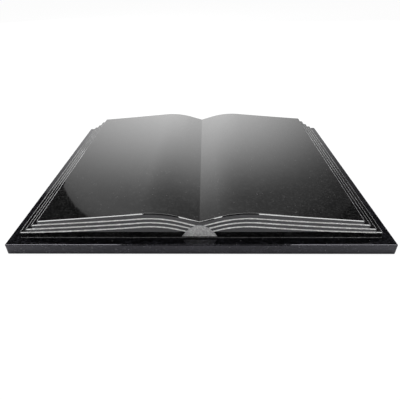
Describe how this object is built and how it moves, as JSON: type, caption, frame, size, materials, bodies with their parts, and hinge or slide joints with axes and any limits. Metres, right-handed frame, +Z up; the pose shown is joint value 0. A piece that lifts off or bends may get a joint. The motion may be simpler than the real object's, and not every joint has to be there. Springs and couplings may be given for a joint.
{
  "type": "open book grave memorial",
  "caption": "Open book carved in polished black granite, with swelling pages, stepped leaf edges and a sunk spine arch, bedded on a thin granite slab; lies on a grave.",
  "frame": {"origin": "centre of the slab's underside", "axes": "+X across the book to the reader's right, +Y from the reader towards the head of the book, +Z up out of the pages"},
  "size_m": [0.5, 0.4, 0.0544],
  "materials": {
    "slab_granite": "polished",
    "book_granite": "polished, with frosted carving"
  },
  "bodies": {
    "root": {"base_slab": "slab_granite", "open_book": "book_granite"}
  },
  "joints": []
}
